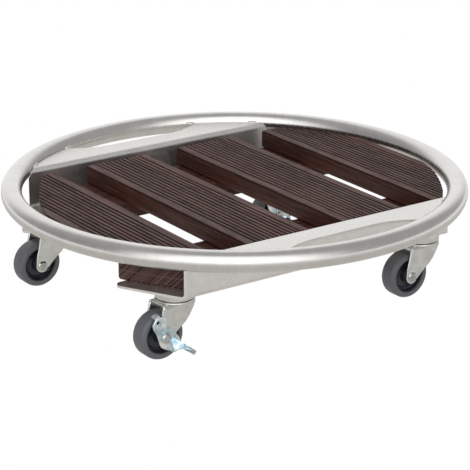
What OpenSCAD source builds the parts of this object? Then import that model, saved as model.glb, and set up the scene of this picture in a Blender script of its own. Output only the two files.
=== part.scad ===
// Round plant pot caddy: a tube ring on two folded rails, a slatted deck and four swivel casters.
// Millimetres, +Z up. The origin is on the floor under the centre of the ring. The boards run
// along Y, the rails along X, and the front rail is the one on the -Y side.

/* [Ring] */
// Outer diameter of the ring
ring_d = 400; // [300:1:600]
// Diameter of the ring's tube
tube_d = 18; // [12:0.5:30]
// Wall of the ring's tube
tube_wall = 1.5; // [1:0.1:3]
// How far the tube's centre sits below the rails' upper face
ring_drop = 1.5; // [0:0.1:6]

/* [Rails] */
// Depth of the top flange, from the web's inside face to the inside of the ring
brim_depth = 51.5; // [35:0.5:80]
// How far the rails' upper face stands above the boards
brim_over = 1.5; // [0:0.1:5]
// Thickness of the rails' sheet
sheet = 2; // [1:0.1:4]
// Inside radius of the rails' bends
bend_r = 2.5; // [1:0.5:5]
// Width of the bottom flange over the web
foot_w = 60; // [45:0.5:80]
// Width of the top flange at its middle
brim_w = 23.3; // [12:0.1:40]
// Half length of the straight part of the top flange's edge
brim_flat = 30; // [10:1:60]
// Radius of the curves at both ends of that straight part
brim_r = 65; // [30:1:120]
// How far a web's long end runs past the inside of the ring
web_long = 12.4; // [4:0.1:18]
// How far a web's short end runs past the inside of the ring
web_short = 3.4; // [1:0.1:12]
// How far the bottom flange's tips run past the inside of the ring
tip_past = 3.6; // [0:0.1:8]
// Corner radius of the bottom flange's tips
tip_r = 6; // [2:0.5:12]
// Gap between the rails and the ring that the welds close
weld_gap = 0.3; // [0.2:0.05:0.6]
// Radius of a weld bead
weld_r = 1.6; // [1:0.1:3]

/* [Deck] */
// Width of a board and of a batten
board_w = 63.5; // [45:0.5:80]
// Thickness of a board and of a batten
board_t = 16; // [12:0.5:22]
// Gap between the sides of the deck and the inside of the ring
deck_side = 7.4; // [4:0.1:20]
// Radius along a board's long edges
edge_r = 2.2; // [0.5:0.1:4]
// How much shorter the boards are than the space between the webs
deck_slack = 16; // [2:0.5:30]
// Gap between the boards' front ends and the front web
front_gap = 0.7; // [0.4:0.1:5]
// Grooves in the top of a board
groove_n = 11; // [5:1:17]
// Distance between neighbouring grooves
groove_pitch = 4.4; // [3:0.1:6]
// Width of a groove at its mouth
groove_w = 1.9; // [1:0.1:3]
// Depth of a groove
groove_d = 1.3; // [0.5:0.1:3]
// Grooves in the underside of a batten
rib_n = 13; // [5:1:17]
// Distance between neighbouring grooves of a batten
rib_pitch = 3.8; // [3:0.1:6]
// Angle of the deck's cut corners, from the boards' direction
cut_angle = 33; // [20:1:45]
// Gap between a cut corner and the ring, with the deck centred
cut_gap = 9.5; // [5:0.5:20]
// Radius of a cut corner's curve
cut_r = 286; // [180:1:500]
// Sideways shift of the deck's cut corners
cut_shift_x = 4; // [-6:0.1:6]
// Shift of the cut corners along the boards
cut_shift_y = -3.6; // [-6:0.1:6]
// Smallest gap between the deck and the ring
deck_clear = 3.4; // [1:0.1:10]
// Radius of the screws' shanks
screw_r = 2; // [1.5:0.1:3]
// Distance of the outer screws from the boards' edges
screw_edge = 8; // [6:0.5:14]

/* [Casters] */
// Height of a caster's bearing, from the fork's crown to the rail
bearing_h = 13; // [11:0.5:20]
// Gap between the wheel and the fork's crown
wheel_gap = 5; // [3:0.5:12]
// Smallest distance from a caster's axis to the inside of the ring
caster_gap = 21.6; // [18:0.1:60]
// Distance from the web's outer face to the caster's axis at a rail's short end
inset_short = 30.2; // [27:0.1:40]
// The same at a rail's long end, where the brake is
inset_long = 38; // [27:0.1:45]
// Diameter of a wheel
wheel_d = 40; // [32:0.5:50]
// Thickness of the tyre on its wheel
tyre_t = 5.4; // [4:0.1:8]
// Width of a wheel over its tyre
wheel_w = 16; // [12:0.5:17]
// How far a wheel trails behind its swivel axis
trail = 16.5; // [15:0.5:21]
// Radius of the raceway
race_r = 16.4; // [15:0.1:19]
// Number of balls in a raceway
ball_n = 16; // [8:1:20]
// Thickness of the fork's sheet
fork_t = 1.6; // [1.2:0.1:2.2]
// Gap between a wheel's hub and the fork's legs, on each side
hub_gap = 0.8; // [0.3:0.1:2]
// How far a wheel's hub stands out beyond its tyre
hub_out = 0.8; // [0.2:0.1:2]
// Diameter of the caster's mounting stud
stud_d = 6; // [5:0.5:8]
// Diameter of the wheel's axle
axle_d = 6; // [5:0.5:7]

/* [Brakes] */
// Thickness of a brake lever's sheet
lever_t = 1.5; // [1:0.1:2]
// How far a lever's pedal stands out sideways
pedal_out = 24; // [12:0.5:30]
// Gap between a lever's shoe and the tyre
shoe_gap = 0.5; // [0.4:0.1:2]

/* [Hidden] */
$fn = 96;
eps = 0.02;                 // hairline between pieces that touch
crown_t = 2;                // thickness of the fork's crown
steel = [0.78, 0.77, 0.75];
zinc = [0.72, 0.78, 0.82];
wood = [0.25, 0.17, 0.16];
grey = [0.33, 0.33, 0.35];
dark = [0.13, 0.13, 0.16];

tube_r = tube_d / 2;
ring_r = ring_d / 2 - tube_r;
ring_in = ring_r - tube_r;
caster_h = wheel_d + wheel_gap + crown_t + bearing_h;
rail_h = sheet + 2 * board_t + brim_over;
web_in = ring_in - brim_depth;
web_out = web_in + sheet;
rail_bot = caster_h;
rail_top = rail_bot + rail_h;
ring_z = rail_top - ring_drop;
foot_in = web_out - foot_w;
bend_o = bend_r + sheet;
reach_web = sqrt(pow(ring_in, 2) - pow(web_out, 2));
reach_tip = sqrt(pow(ring_in, 2) - pow(foot_in, 2)) + tip_past;

deck_bot = rail_bot + sheet;
deck_mid = deck_bot + board_t;
deck_top = deck_mid + board_t;
deck_y0 = -web_in + front_gap;
deck_y1 = deck_y0 + 2 * web_in - deck_slack;
pitch = (2 * (ring_in - deck_side) - board_w) / 3;
batten_y = [deck_y0 + board_w / 2, deck_y1 - board_w / 2];

y_short = web_out - inset_short;
y_long = web_out - inset_long;
caster_x = sqrt(pow(ring_in - caster_gap, 2) - pow(y_short, 2));
foot_screw_y = web_out - foot_w / 2 - 4;
axle_z = wheel_d / 2;
leg_r = axle_d / 2 + 2.9;
nose = race_r - 4.4;         // how far the crown reaches ahead of the swivel axis
leg_in = wheel_w / 2 + hub_out + hub_gap;
leg_out = leg_in + fork_t;
fork_w = 2 * leg_out;
crown_top = caster_h - bearing_h;
crown_bot = crown_top - crown_t;
ball_r = 1.9;
ball_ring = 11.4;
cup_top = crown_top + 2.6;
ball_z = cup_top + ball_r - 0.6;
race_bot = ball_z + ball_r - 0.6;
skirt_bot = crown_top + 2.2;
stud_r = stud_d / 2;
nut_t = stud_d * 0.8;
nut_af = stud_d * 5 / 3;
stud_top = rail_bot + sheet + nut_t + 1.5;
pocket_r = nut_af / sqrt(3) + 0.8;
pocket_d = nut_t + 3;
head_r = axle_d / 2 + 1.7;
head_t = 1.25;
axle_r = axle_d / 2;
bore_slip = 0.05;           // running clearance of the axle, on the radius
sleeve_r = axle_r + 1.6;
core_r = axle_z - tyre_t;
dish = 5.5;                 // depth of the wheel's dish below the tyre's side
shoulder = 3.2;
lever_in = leg_out + 0.4;
lever_out = lever_in + lever_t;
shoe_r = axle_z + shoe_gap;
shoe_end = 4;               // distance of the shoe's end from the wheel's middle
shoe_w = 6.5;               // width of the shoe along the tread
lobe_r = 4.4;               // round top of the lever's blade, under its shoe
lobe_turn = 26.6;           // its angle behind the vertical
lobe = (shoe_r - 3.5) * [-sin(lobe_turn), cos(lobe_turn)];
pedal_low = [7.9, -13.3];   // the fold's two ends, from the axle
pedal_top = [13.8, -6.1];

screw_head = screw_r + 1.8;
screw_sink = 4;
head_h = 2.2;
screw_up = board_t - 6;     // how far a slat screw reaches into its board
screw_fit = 0.05;           // clearance of the screws in the wood
screw_step = 14;            // distance between the two screws of an outer board

// [x side, y side, has a brake, number]
casters = [[-1, -1, true], [1, -1, false], [1, 1, true], [-1, 1, false]];

// ---- ring ----

module torus(r) {
  translate([0, 0, ring_z]) rotate_extrude() translate([ring_r, 0]) circle(r);
}

module ring_tube() {
  color(steel) translate([0, 0, ring_z]) rotate_extrude() translate([ring_r, 0])
    difference() {
      circle(tube_r);
      circle(tube_r - tube_wall);
    }
}

// a short bead lying in the seam between the top flange and the ring
module bead(a, len) {
  r = ring_in - weld_gap;
  sweep = len / r * 180 / PI;
  rotate([0, 0, a - sweep / 2]) translate([0, 0, rail_top])
    rotate_extrude(angle = sweep) translate([r + 0.2, 0]) circle(weld_r, $fn = 32);
}

module ring_welds() {
  corner = atan2(web_in + 9, sqrt(pow(ring_in, 2) - pow(web_in + 9, 2)));
  ear_x = brim_flat + brim_r * 0.56;
  ear = atan2(sqrt(pow(ring_in, 2) - pow(ear_x, 2)), ear_x);
  color(steel) for (s = [0, 180]) for (a = [corner, ear, 180 - ear, 180 - corner])
    bead(a + s, 7);
}

// ---- rails ----

module quarter(ro, ri, sx, sy) {
  intersection() {
    difference() {
      circle(ro);
      circle(ri);
    }
    translate([sx < 0 ? -ro : 0, sy < 0 ? -ro : 0]) square(ro);
  }
}

// cross-section of the rear rail in Y and Z: top flange out to the ring, foot under the deck
module rail_section() {
  translate([web_in, rail_bot + bend_o]) square([sheet, rail_h - 2 * bend_o]);
  translate([web_in + bend_o, rail_top - bend_o]) quarter(bend_o, bend_r, -1, 1);
  translate([web_in + bend_o, rail_top - sheet]) square([ring_in - web_in, sheet]);
  translate([web_out - bend_o, rail_bot + bend_o]) quarter(bend_o, bend_r, 1, -1);
  translate([foot_in, rail_bot]) square([foot_w - bend_o, sheet]);
}

module brim_plan() {
  y0 = web_in + brim_w;
  difference() {
    intersection() {
      circle(ring_in - weld_gap);
      translate([-ring_r, web_in - 1]) square([2 * ring_r, ring_r]);
    }
    translate([-brim_flat, y0]) square([2 * brim_flat, ring_r]);
    intersection() {
      union() {
        translate([-brim_flat, y0 + brim_r]) circle(brim_r);
        translate([brim_flat, y0 + brim_r]) circle(brim_r);
      }
      translate([-ring_r, y0 - 1]) square([2 * ring_r, ring_r]);
    }
  }
}

// what a rounded corner takes off: the corner point, unit vectors along both sides, radius
module corner_off(p, u, v, r) {
  half = acos(u * v) / 2;
  t = r / tan(half);
  m = (u + v) / norm(u + v);
  c = p + m * r / sin(half);
  difference() {
    polygon([p - m * 0.01, p + u * t, c, p + v * t]);
    translate(c) circle(r);
  }
}

module foot_plan() {
  l = [-reach_web - web_short, web_out];
  r = [reach_web + web_long, web_out];
  tr = [reach_tip, foot_in];
  tl = [-reach_tip, foot_in];
  difference() {
    polygon([l, tl, tr, r]);
    corner_off(tr, [-1, 0], (r - tr) / norm(r - tr), tip_r);
    corner_off(tl, [1, 0], (l - tl) / norm(l - tl), tip_r);
  }
}

module rail() {
  split = rail_top - bend_o;
  difference() {
    intersection() {
      rotate([90, 0, 90]) translate([0, 0, -ring_r])
        linear_extrude(2 * ring_r) rail_section();
      union() {
        translate([0, 0, split]) linear_extrude(bend_o + 1) brim_plan();
        translate([0, 0, rail_bot - 1]) linear_extrude(split - rail_bot + 1) foot_plan();
      }
    }
    torus(tube_r + weld_gap);
    for (sx = [-1, 1]) {
      translate([sx * caster_x, sx > 0 ? y_long : y_short, rail_bot - 1])
        cylinder(h = sheet + 2, r = stud_r + 0.2);
      translate([sx * pitch / 2, foot_screw_y, rail_bot - 1])
        cylinder(h = sheet + 2, r = screw_r + 0.3);
    }
  }
}

module rail_rear() {
  color(steel) rail();
}

module rail_front() {
  color(steel) rotate([0, 0, 180]) rail();
}

// ---- deck ----

module bar_section(n, p, t) {
  difference() {
    union() {
      translate([-board_w / 2 + edge_r, 0]) square([board_w - 2 * edge_r, t]);
      translate([-board_w / 2, edge_r]) square([board_w, t - 2 * edge_r]);
      for (sx = [-1, 1]) for (z = [edge_r, t - edge_r])
        translate([sx * (board_w / 2 - edge_r), z]) circle(edge_r);
    }
    for (i = [0 : n - 1]) translate([(i - (n - 1) / 2) * p, t])
      polygon([[-groove_w / 2, 0.5], [-groove_w / 2, 0], [-groove_w / 4, -groove_d],
        [groove_w / 4, -groove_d], [groove_w / 2, 0], [groove_w / 2, 0.5]]);
  }
}

// the deck's plan is the overlap of its four corner curves and the ring's clearance
module deck_prism() {
  intersection_for (c = [[-1, -1], [-1, 1], [1, -1], [1, 1], [0, 0]])
    translate([0, 0, deck_bot - 1]) linear_extrude(2 * board_t + 2) corner_disc(c);
}

module corner_disc(c) {
  back = cut_r - (ring_in - cut_gap);
  if (c[0] == 0) circle(ring_in - deck_clear);
  else translate([cut_shift_x - c[0] * back * cos(cut_angle),
    cut_shift_y - c[1] * back * sin(cut_angle)]) circle(cut_r);
}

// both rails are alike and turned half round, so a caster's place depends on its end
function caster_y(sx, sy) = sy * (sx * sy > 0 ? y_long : y_short);

function board_x(i) = (i - 2.5) * pitch;

// slat screws of board i at batten b (0 front, 1 rear)
function slat_points(i, b) =
  let (inner = (i == 2 || i == 3), s = i < 3 ? -1 : 1, yb = batten_y[b], back = b == 0 ? 1 : -1,
    edge = board_x(i) - s * board_w / 2)
  inner ? [[board_x(i) - board_w / 4, yb], [board_x(i) + board_w / 4, yb]]
    : [for (d = [screw_edge, screw_edge + screw_step])
        [edge + s * d, yb + back * (board_w / 2 - screw_edge - 1)]];

module board(i) {
  color(wood) difference() {
    intersection() {
      translate([board_x(i), deck_y1, deck_mid]) rotate([90, 0, 0])
        linear_extrude(deck_y1 - deck_y0) bar_section(groove_n, groove_pitch, board_t);
      deck_prism();
    }
    for (b = [0, 1]) for (p = slat_points(i, b))
      translate([p[0], p[1], deck_mid - 1]) cylinder(h = screw_up + 1.3, r = screw_r + screw_fit);
  }
}

module board_1() { board(1); }
module board_2() { board(2); }
module board_3() { board(3); }
module board_4() { board(4); }

module batten(b) {
  s = b == 0 ? -1 : 1;
  color(wood) difference() {
    intersection() {
      translate([-ring_r, batten_y[b], deck_mid - eps]) rotate([180, 0, 0]) rotate([90, 0, 90])
        linear_extrude(2 * ring_r) bar_section(rib_n, rib_pitch, board_t - 2 * eps);
      deck_prism();
    }
    for (i = [1 : 4]) for (p = slat_points(i, b)) {
      translate([p[0], p[1], deck_bot - 2]) cylinder(h = board_t + 4, r = screw_r + screw_fit);
      translate([p[0], p[1], deck_bot - 2]) cylinder(h = screw_sink + 2, r = screw_head + 0.3);
    }
    for (sx = [-1, 1]) {
      translate([sx * caster_x, caster_y(sx, s), deck_bot - 2])
        cylinder(h = pocket_d + 2, r = pocket_r);
      translate([sx * pitch / 2, s * foot_screw_y, deck_bot - 2])
        cylinder(h = board_t - 2, r = screw_r + screw_fit);
    }
  }
}

module batten_front() { batten(0); }
module batten_rear() { batten(1); }

module slat_screws() {
  color(zinc) for (i = [1 : 4]) for (b = [0, 1]) for (p = slat_points(i, b))
    translate([p[0], p[1], 0]) {
      translate([0, 0, deck_bot + screw_sink - head_h]) cylinder(h = head_h - eps, r = screw_head);
      translate([0, 0, deck_bot + screw_sink - 1])
        cylinder(h = board_t - screw_sink + 1 + screw_up, r = screw_r);
    }
}

module deck_screws() {
  color(zinc) for (sx = [-1, 1]) for (sy = [-1, 1])
    translate([sx * pitch / 2, sy * foot_screw_y, 0]) {
      translate([0, 0, rail_bot - head_h]) cylinder(h = head_h - eps, r = screw_head);
      translate([0, 0, rail_bot - 1]) cylinder(h = board_t - 4, r = screw_r);
    }
}

// ---- casters ----

module at_caster(k) {
  c = casters[k - 1];
  translate([c[0] * caster_x, caster_y(c[0], c[1]), 0]) children();
}

module at_axle(k) {
  at_caster(k) translate([-trail, 0, axle_z]) children();
}

module caster_studs() {
  color(zinc) for (k = [1 : 4]) at_caster(k) {
    translate([0, 0, crown_bot - 1.8]) cylinder(h = 1.8 - eps, r = stud_r + 2);
    translate([0, 0, crown_bot - 1]) cylinder(h = stud_top - crown_bot + 1, r = stud_r);
  }
}

module caster_nuts() {
  color(zinc) for (k = [1 : 4]) at_caster(k) translate([0, 0, rail_bot + sheet + eps])
    difference() {
      cylinder(h = nut_t, r = nut_af / sqrt(3), $fn = 6);
      translate([0, 0, -1]) cylinder(h = nut_t + 2, r = stud_r + eps);
    }
}

// domed upper race, clamped under the rail
module raceway(k) {
  color(zinc) at_caster(k) difference() {
    rotate_extrude() polygon([[stud_r + eps, rail_bot - eps], [race_r * 0.66, rail_bot - eps],
      [race_r * 0.86, rail_bot - 1.3], [race_r * 0.97, rail_bot - 3], [race_r, rail_bot - 4.6],
      [race_r, skirt_bot], [race_r - 1.3, skirt_bot], [race_r - 1.3, race_bot],
      [stud_r + eps, race_bot]]);
    translate([0, 0, ball_z]) rotate_extrude() translate([ball_ring, 0])
      circle(ball_r + 0.06, $fn = 48);
  }
}

module balls(k) {
  color(steel) at_caster(k) for (i = [0 : ball_n - 1]) rotate([0, 0, i * 360 / ball_n])
    translate([ball_ring, 0, ball_z]) sphere(ball_r, $fn = 24);
}

// side view of a leg, from the swivel axis: broad under the crown, round at the axle
module leg_shape() {
  h = crown_bot - axle_z;
  polygon([[-trail - leg_r * 0.15, crown_bot + 1], [-trail - leg_r * 0.87, axle_z + 0.31 * h],
    [-trail - leg_r * 0.995, axle_z + 0.6], [-trail, axle_z], [-trail + leg_r * 0.69, axle_z - leg_r * 0.72],
    [-trail + 6.8, axle_z - 1.4], [nose - 13, axle_z + 0.25 * h], [nose - 9, axle_z + 0.4 * h],
    [nose - 5, axle_z + 0.59 * h], [nose - 1, axle_z + 0.86 * h], [nose, crown_bot + 1]]);
  translate([-trail, axle_z]) circle(leg_r);
}

module fork(k) {
  color(zinc) at_caster(k) difference() {
    union() {
      for (y = [-leg_in, leg_out]) translate([0, y, 0]) rotate([90, 0, 0])
        linear_extrude(fork_t) leg_shape();
      translate([-trail - leg_r * 0.15, -leg_out, crown_bot])
        cube([trail + leg_r * 0.15 + nose, fork_w, crown_t]);
      translate([0, 0, crown_bot]) cylinder(h = cup_top - crown_bot, r = race_r - 1.9);
    }
    translate([0, 0, ball_z]) rotate_extrude() translate([ball_ring, 0])
      circle(ball_r + 0.06, $fn = 48);
    translate([0, 0, crown_bot - 1]) cylinder(h = 20, r = stud_r + 0.1);
    translate([-trail, leg_out + 1, axle_z]) rotate([90, 0, 0])
      cylinder(h = fork_w + 2, r = axle_r + eps);
  }
}

module axle(k) {
  far = casters[k - 1][2] ? lever_out + 0.15 : leg_out + eps;
  color(steel) at_axle(k) rotate([90, 0, 0]) {
    translate([0, 0, -leg_out - head_t]) cylinder(h = leg_out + far + 2 * head_t - eps, r = axle_r);
    translate([0, 0, -leg_out - head_t - eps]) cylinder(h = head_t, r = head_r);
    translate([0, 0, far]) cylinder(h = head_t, r = head_r);
  }
}

module sleeve(k) {
  color(steel) at_axle(k) rotate([90, 0, 0]) difference() {
    translate([0, 0, -leg_in + eps]) cylinder(h = 2 * (leg_in - eps), r = sleeve_r);
    translate([0, 0, -leg_in - 1]) cylinder(h = 2 * leg_in + 2, r = axle_r + eps);
  }
}

module core(k) {
  hw = wheel_w / 2;
  color(dark) at_axle(k) rotate([90, 0, 0]) rotate_extrude()
    polygon([[sleeve_r + bore_slip, -hw - 0.8], [sleeve_r + 1.9, -hw - 0.8],
      [sleeve_r + 2.4, -hw + dish], [core_r - 2.2, -hw + dish], [core_r - 1.4, -hw + 1.2],
      [core_r, -hw + 1.2], [core_r, hw - 1.2], [core_r - 1.4, hw - 1.2],
      [core_r - 2.2, hw - dish], [sleeve_r + 2.4, hw - dish], [sleeve_r + 1.9, hw + 0.8],
      [sleeve_r + bore_slip, hw + 0.8]]);
}

module tyre(k) {
  hw = wheel_w / 2;
  color(grey) at_axle(k) rotate([90, 0, 0]) rotate_extrude() difference() {
    union() {
      translate([core_r, -hw + 0.6]) square([axle_z - shoulder - core_r, wheel_w - 1.2]);
      translate([axle_z - shoulder, -hw + shoulder]) square([shoulder, wheel_w - 2 * shoulder]);
      translate([axle_z - shoulder - 0.8, -hw]) square([0.8, wheel_w]);
      for (z = [-hw + shoulder, hw - shoulder]) translate([axle_z - shoulder, z]) circle(shoulder);
    }
    translate([0, -hw]) square([core_r + eps, wheel_w]);
  }
}

// ---- brakes ----

module lever_shape() {
  difference() {
    union() {
      circle(8.4);
      translate(lobe) circle(lobe_r);
      polygon([lobe + [-4, -1.2], lobe + [-1.4, 2.3], lobe + [3, 3.2], lobe + [7.9, -0.3], [8.8, 3],
        pedal_top, pedal_low, [-4.3, -6.4], [-7.1, -0.4], [-9.4, 6], lobe + [-4.4, -3.3]]);
    }
    circle(axle_r + bore_slip);
    translate(lobe + [-0.2, 0.3]) rotate(40) square(2.4, center = true);
  }
}

// pedal: a tongue folded square out of the blade's lower corner, narrower at its end
module pedal() {
  run = pedal_top - pedal_low;
  w = norm(run);
  translate([pedal_low[0], -lever_in, pedal_low[1]]) rotate([0, -atan2(run[1], run[0]), 0])
    mirror([0, 1, 0]) linear_extrude(lever_t)
    polygon([[0, 0], [w, 0], [w, pedal_out + lever_t], [w * 0.58, pedal_out + lever_t],
      [w * 0.58, pedal_out / 3 + lever_t], [0, lever_t]]);
}

module lever(k) {
  color([0.62, 0.8, 0.9]) at_axle(k) {
    translate([0, -lever_in, 0]) rotate([90, 0, 0]) linear_extrude(lever_t) lever_shape();
    pedal();
    // shoe folded in over the tread
    intersection() {
      translate([0, -shoe_end, 0]) rotate([90, 0, 0]) difference() {
        cylinder(h = lever_out - shoe_end, r = shoe_r + lever_t);
        translate([0, 0, -1]) cylinder(h = lever_out - shoe_end + 2, r = shoe_r);
      }
      rotate([0, -23, 0]) translate([-shoe_w / 2, -lever_out, 0])
        cube([shoe_w, lever_out - shoe_end, wheel_d]);
    }
  }
}

module raceway_1() { raceway(1); }
module raceway_2() { raceway(2); }
module raceway_3() { raceway(3); }
module raceway_4() { raceway(4); }
module balls_1() { balls(1); }
module balls_2() { balls(2); }
module balls_3() { balls(3); }
module balls_4() { balls(4); }
module fork_1() { fork(1); }
module fork_2() { fork(2); }
module fork_3() { fork(3); }
module fork_4() { fork(4); }
module axle_1() { axle(1); }
module axle_2() { axle(2); }
module axle_3() { axle(3); }
module axle_4() { axle(4); }
module sleeve_1() { sleeve(1); }
module sleeve_2() { sleeve(2); }
module sleeve_3() { sleeve(3); }
module sleeve_4() { sleeve(4); }
module core_1() { core(1); }
module core_2() { core(2); }
module core_3() { core(3); }
module core_4() { core(4); }
module tyre_1() { tyre(1); }
module tyre_2() { tyre(2); }
module tyre_3() { tyre(3); }
module tyre_4() { tyre(4); }
module lever_1() { lever(1); }
module lever_3() { lever(3); }

ring_tube();
ring_welds();
rail_front();
rail_rear();
board_1();
board_2();
board_3();
board_4();
batten_front();
batten_rear();
slat_screws();
deck_screws();
caster_studs();
caster_nuts();
raceway_1();
raceway_2();
raceway_3();
raceway_4();
balls_1();
balls_2();
balls_3();
balls_4();
fork_1();
fork_2();
fork_3();
fork_4();
axle_1();
axle_2();
axle_3();
axle_4();
sleeve_1();
sleeve_2();
sleeve_3();
sleeve_4();
core_1();
core_2();
core_3();
core_4();
tyre_1();
tyre_2();
tyre_3();
tyre_4();
lever_1();
lever_3();
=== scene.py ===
import math

import bmesh
import bpy
import numpy as np
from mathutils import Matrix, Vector


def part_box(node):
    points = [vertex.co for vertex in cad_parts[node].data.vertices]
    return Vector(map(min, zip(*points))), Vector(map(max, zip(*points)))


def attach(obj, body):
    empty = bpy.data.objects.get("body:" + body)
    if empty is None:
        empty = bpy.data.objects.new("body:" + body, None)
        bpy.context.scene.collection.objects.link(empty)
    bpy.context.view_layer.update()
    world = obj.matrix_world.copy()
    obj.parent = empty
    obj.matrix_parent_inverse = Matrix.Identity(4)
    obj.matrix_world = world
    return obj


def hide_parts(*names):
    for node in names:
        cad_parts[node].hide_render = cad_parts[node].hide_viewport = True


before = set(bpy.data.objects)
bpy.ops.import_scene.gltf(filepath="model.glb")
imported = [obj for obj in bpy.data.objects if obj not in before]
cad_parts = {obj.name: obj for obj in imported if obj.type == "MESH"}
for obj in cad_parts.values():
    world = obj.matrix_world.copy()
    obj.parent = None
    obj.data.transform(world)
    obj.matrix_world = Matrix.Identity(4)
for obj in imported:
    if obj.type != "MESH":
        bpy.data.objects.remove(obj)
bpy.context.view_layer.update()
scene = bpy.context.scene
mm = 0.001
casterNumbers = (1, 2, 3, 4)
brakeNumbers = (1, 3)


camera = {"azimuth": -34.78, "elevation": 19.78, "distance": 1.66712, "lens": 148.3,
          "aim": (-0.00822, -0.01254, 0.05234)}


def placeCamera():
    a = math.radians(camera["azimuth"])
    e = math.radians(camera["elevation"])
    back = Vector((math.sin(a) * math.cos(e), -math.cos(a) * math.cos(e), math.sin(e)))
    data = bpy.data.cameras.new("viewCamera")
    data.sensor_width = 36
    data.lens = camera["lens"]
    data.clip_start = 0.05
    data.clip_end = 30
    obj = bpy.data.objects.new("viewCamera", data)
    scene.collection.objects.link(obj)
    obj.location = Vector(camera["aim"]) + back * camera["distance"]
    obj.rotation_mode = "QUATERNION"
    obj.rotation_quaternion = (-back).to_track_quat("-Z", "Y")
    scene.camera = obj


placeCamera()
print("camera placed")


def middle(node):
    low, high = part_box(node)
    return (np.array(low) + np.array(high)) / 2


def addNode(tree, kind, **settings):
    node = tree.nodes.new(kind)
    for key, value in settings.items():
        if key in node.inputs:
            node.inputs[key].default_value = value
        else:
            setattr(node, key, value)
    return node


def setInputs(node, **values):
    # socket names with their spaces left out
    for socket in node.inputs:
        key = socket.name.replace(" ", "")
        if key in values:
            socket.default_value = values[key]
    return node


def groupTree(name, ins, outs):
    tree = bpy.data.node_groups.new(name, "ShaderNodeTree")
    for label, kind, value in ins:
        socket = tree.interface.new_socket(label, in_out="INPUT", socket_type="NodeSocket" + kind)
        if value is not None:
            socket.default_value = value
    for label, kind in outs:
        tree.interface.new_socket(label, in_out="OUTPUT", socket_type="NodeSocket" + kind)
    return tree, tree.nodes.new("NodeGroupInput").outputs, tree.nodes.new("NodeGroupOutput").inputs


def useGroup(tree, group, **values):
    node = tree.nodes.new("ShaderNodeGroup")
    node.node_tree = group
    return setInputs(node, **values)


def stretchedNoise(tree, vector, stretch, scale, detail, roughness=0.6):
    # noise on a vector that is first multiplied, component by component, by stretch
    times = addNode(tree, "ShaderNodeVectorMath", operation="MULTIPLY")
    tree.links.new(vector, times.inputs[0])
    if isinstance(stretch, tuple):
        times.inputs[1].default_value = stretch
    else:
        tree.links.new(stretch, times.inputs[1])
    noise = addNode(tree, "ShaderNodeTexNoise")
    setInputs(noise, Detail=detail, Roughness=roughness)
    if isinstance(scale, (int, float)):
        noise.inputs["Scale"].default_value = scale
    else:
        tree.links.new(scale, noise.inputs["Scale"])
    tree.links.new(times.outputs[0], noise.inputs["Vector"])
    return noise.outputs["Fac"]


def rangeOf(tree, value, fromLow, fromHigh, toLow, toHigh):
    node = tree.nodes.new("ShaderNodeMapRange")
    node.interpolation_type = "SMOOTHSTEP"
    for label, given in (("Value", value), ("From Min", fromLow), ("From Max", fromHigh),
                         ("To Min", toLow), ("To Max", toHigh)):
        if isinstance(given, (int, float)):
            node.inputs[label].default_value = given
        else:
            tree.links.new(given, node.inputs[label])
    return node.outputs["Result"]


def mixColour(tree, fac, first, second, how="MIX"):
    node = tree.nodes.new("ShaderNodeMix")
    node.data_type = "RGBA"
    node.blend_type = how
    for socket, given in ((node.inputs[0], fac), (node.inputs[6], first), (node.inputs[7], second)):
        if isinstance(given, tuple):
            socket.default_value = (*given, 1)
        elif isinstance(given, (int, float)):
            socket.default_value = given
        else:
            tree.links.new(given, socket)
    return node.outputs[2]


def mathNode(tree, how, first, second):
    node = addNode(tree, "ShaderNodeMath", operation=how)
    for socket, given in zip(node.inputs, (first, second)):
        if isinstance(given, (int, float)):
            socket.default_value = given
        else:
            tree.links.new(given, socket)
    return node.outputs[0]


def makeBrushing():
    # long fine scratches: a noise drawn out along one direction, and wide soft cloudiness
    tree, given, out = groupTree("brushing", [
        ("Vector", "Vector", None), ("Stretch", "Vector", (1, 1, 1)), ("Scale", "Float", 900.0),
        ("Low", "Float", 0.25), ("High", "Float", 0.4), ("Cloud Scale", "Float", 38.0)],
        [("Roughness", "Float"), ("Height", "Float"), ("Cloud", "Float")])
    fine = stretchedNoise(tree, given["Vector"], given["Stretch"], given["Scale"], 3.0)
    cloud = stretchedNoise(tree, given["Vector"], (1, 1, 1), given["Cloud Scale"], 4.0)
    finePart = mathNode(tree, "MULTIPLY", fine, 0.6)
    mixed = mathNode(tree, "ADD", finePart, mathNode(tree, "MULTIPLY", cloud, 0.4))
    tree.links.new(rangeOf(tree, mixed, 0.3, 0.7, given["Low"], given["High"]), out["Roughness"])
    tree.links.new(fine, out["Height"])
    tree.links.new(rangeOf(tree, cloud, 0.35, 0.7, 0.0, 1.0), out["Cloud"])
    return tree


def makeDust():
    # dust gathers on faces that look up and in cloudy patches
    tree, given, out = groupTree("dust", [
        ("Vector", "Vector", None), ("Color", "Color", (0.1, 0.1, 0.1, 1)),
        ("Dust Color", "Color", (0.3, 0.29, 0.27, 1)), ("Amount", "Float", 0.2)],
        [("Color", "Color"), ("Mask", "Float")])
    facing = tree.nodes.new("ShaderNodeNewGeometry")
    apart = tree.nodes.new("ShaderNodeSeparateXYZ")
    tree.links.new(facing.outputs["Normal"], apart.inputs[0])
    top = rangeOf(tree, apart.outputs["Z"], -0.2, 1.0, 0.25, 1.0)
    cloud = stretchedNoise(tree, given["Vector"], (1, 1, 1), 120.0, 6.0, 0.7)
    patch = rangeOf(tree, cloud, 0.35, 0.75, 0.2, 1.0)
    mask = mathNode(tree, "MULTIPLY", mathNode(tree, "MULTIPLY", top, patch), given["Amount"])
    tree.links.new(mixColour(tree, mask, given["Color"], given["Dust Color"]), out["Color"])
    tree.links.new(mask, out["Mask"])
    return tree


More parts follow.
